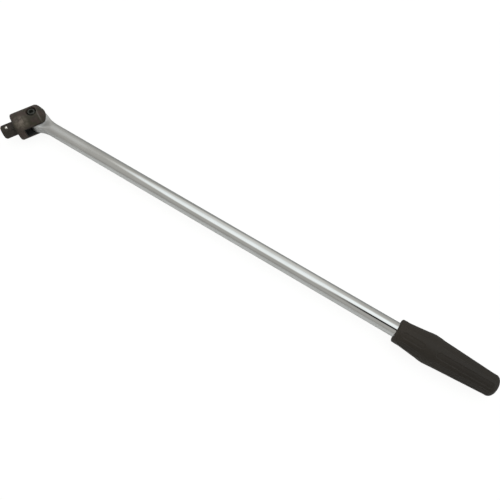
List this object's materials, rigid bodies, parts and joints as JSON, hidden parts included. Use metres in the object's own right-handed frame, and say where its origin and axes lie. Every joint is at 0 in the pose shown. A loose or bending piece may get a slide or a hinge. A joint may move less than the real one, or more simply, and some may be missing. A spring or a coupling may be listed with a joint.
{
  "type": "flex-head breaker bar",
  "caption": "Long breaker bar: straight round steel shank with a fluted end grip and a forked swivel head that carries a square socket drive with a ball detent.",
  "frame": {"origin": "centre of the drive head's shoulder face, where a socket comes to rest", "axes": "+X along the handle towards the grip, +Z along the pivot screw towards its head, +Y completes the right-handed frame"},
  "size_m": [0.617, 0.0549, 0.0328],
  "materials": {
    "handle_steel": "satin chrome plate over forged steel",
    "grip_plastic": "hard moulded grip, fine satin grain",
    "head_steel": "dark phosphated alloy steel, lightly oiled",
    "screw_steel": "blackened steel",
    "washer_steel": "spring steel",
    "ball_steel": "polished bearing ball",
    "spring_steel": "drawn spring wire",
    "plunger_steel": "hardened, blackened steel"
  },
  "bodies": {
    "handle": {"shank": "handle_steel", "grip": "grip_plastic"},
    "head": {"drive_head": "head_steel", "pivot_screw": "screw_steel", "lock_washer": "washer_steel", "drive_ball_spring": "spring_steel", "friction_spring": "spring_steel"},
    "drive_ball": {"drive_ball": "ball_steel"},
    "friction_plunger": {"friction_plunger": "plunger_steel"}
  },
  "joints": [
    {"name": "head_swing", "type": "hinge", "parent": "handle", "child": "head", "pos_m": [0.01197, 0.02252, 0], "axis": [0, 0, 1], "range_deg": [-162, 38]},
    {"name": "drive_ball_press", "type": "slide", "parent": "head", "child": "drive_ball", "axis": [0, 0, -1], "range_m": [0, 0.0009], "stiffness_N_per_m": 400, "springref_m": -0.0004, "deforming": ["drive_ball_spring"]},
    {"name": "plunger_press", "type": "slide", "parent": "head", "child": "friction_plunger", "axis": [-0.4695, -0.8829, 0], "range_m": [0, 0.0004], "stiffness_N_per_m": 600, "springref_m": -0.0005, "deforming": ["friction_spring"]}
  ]
}
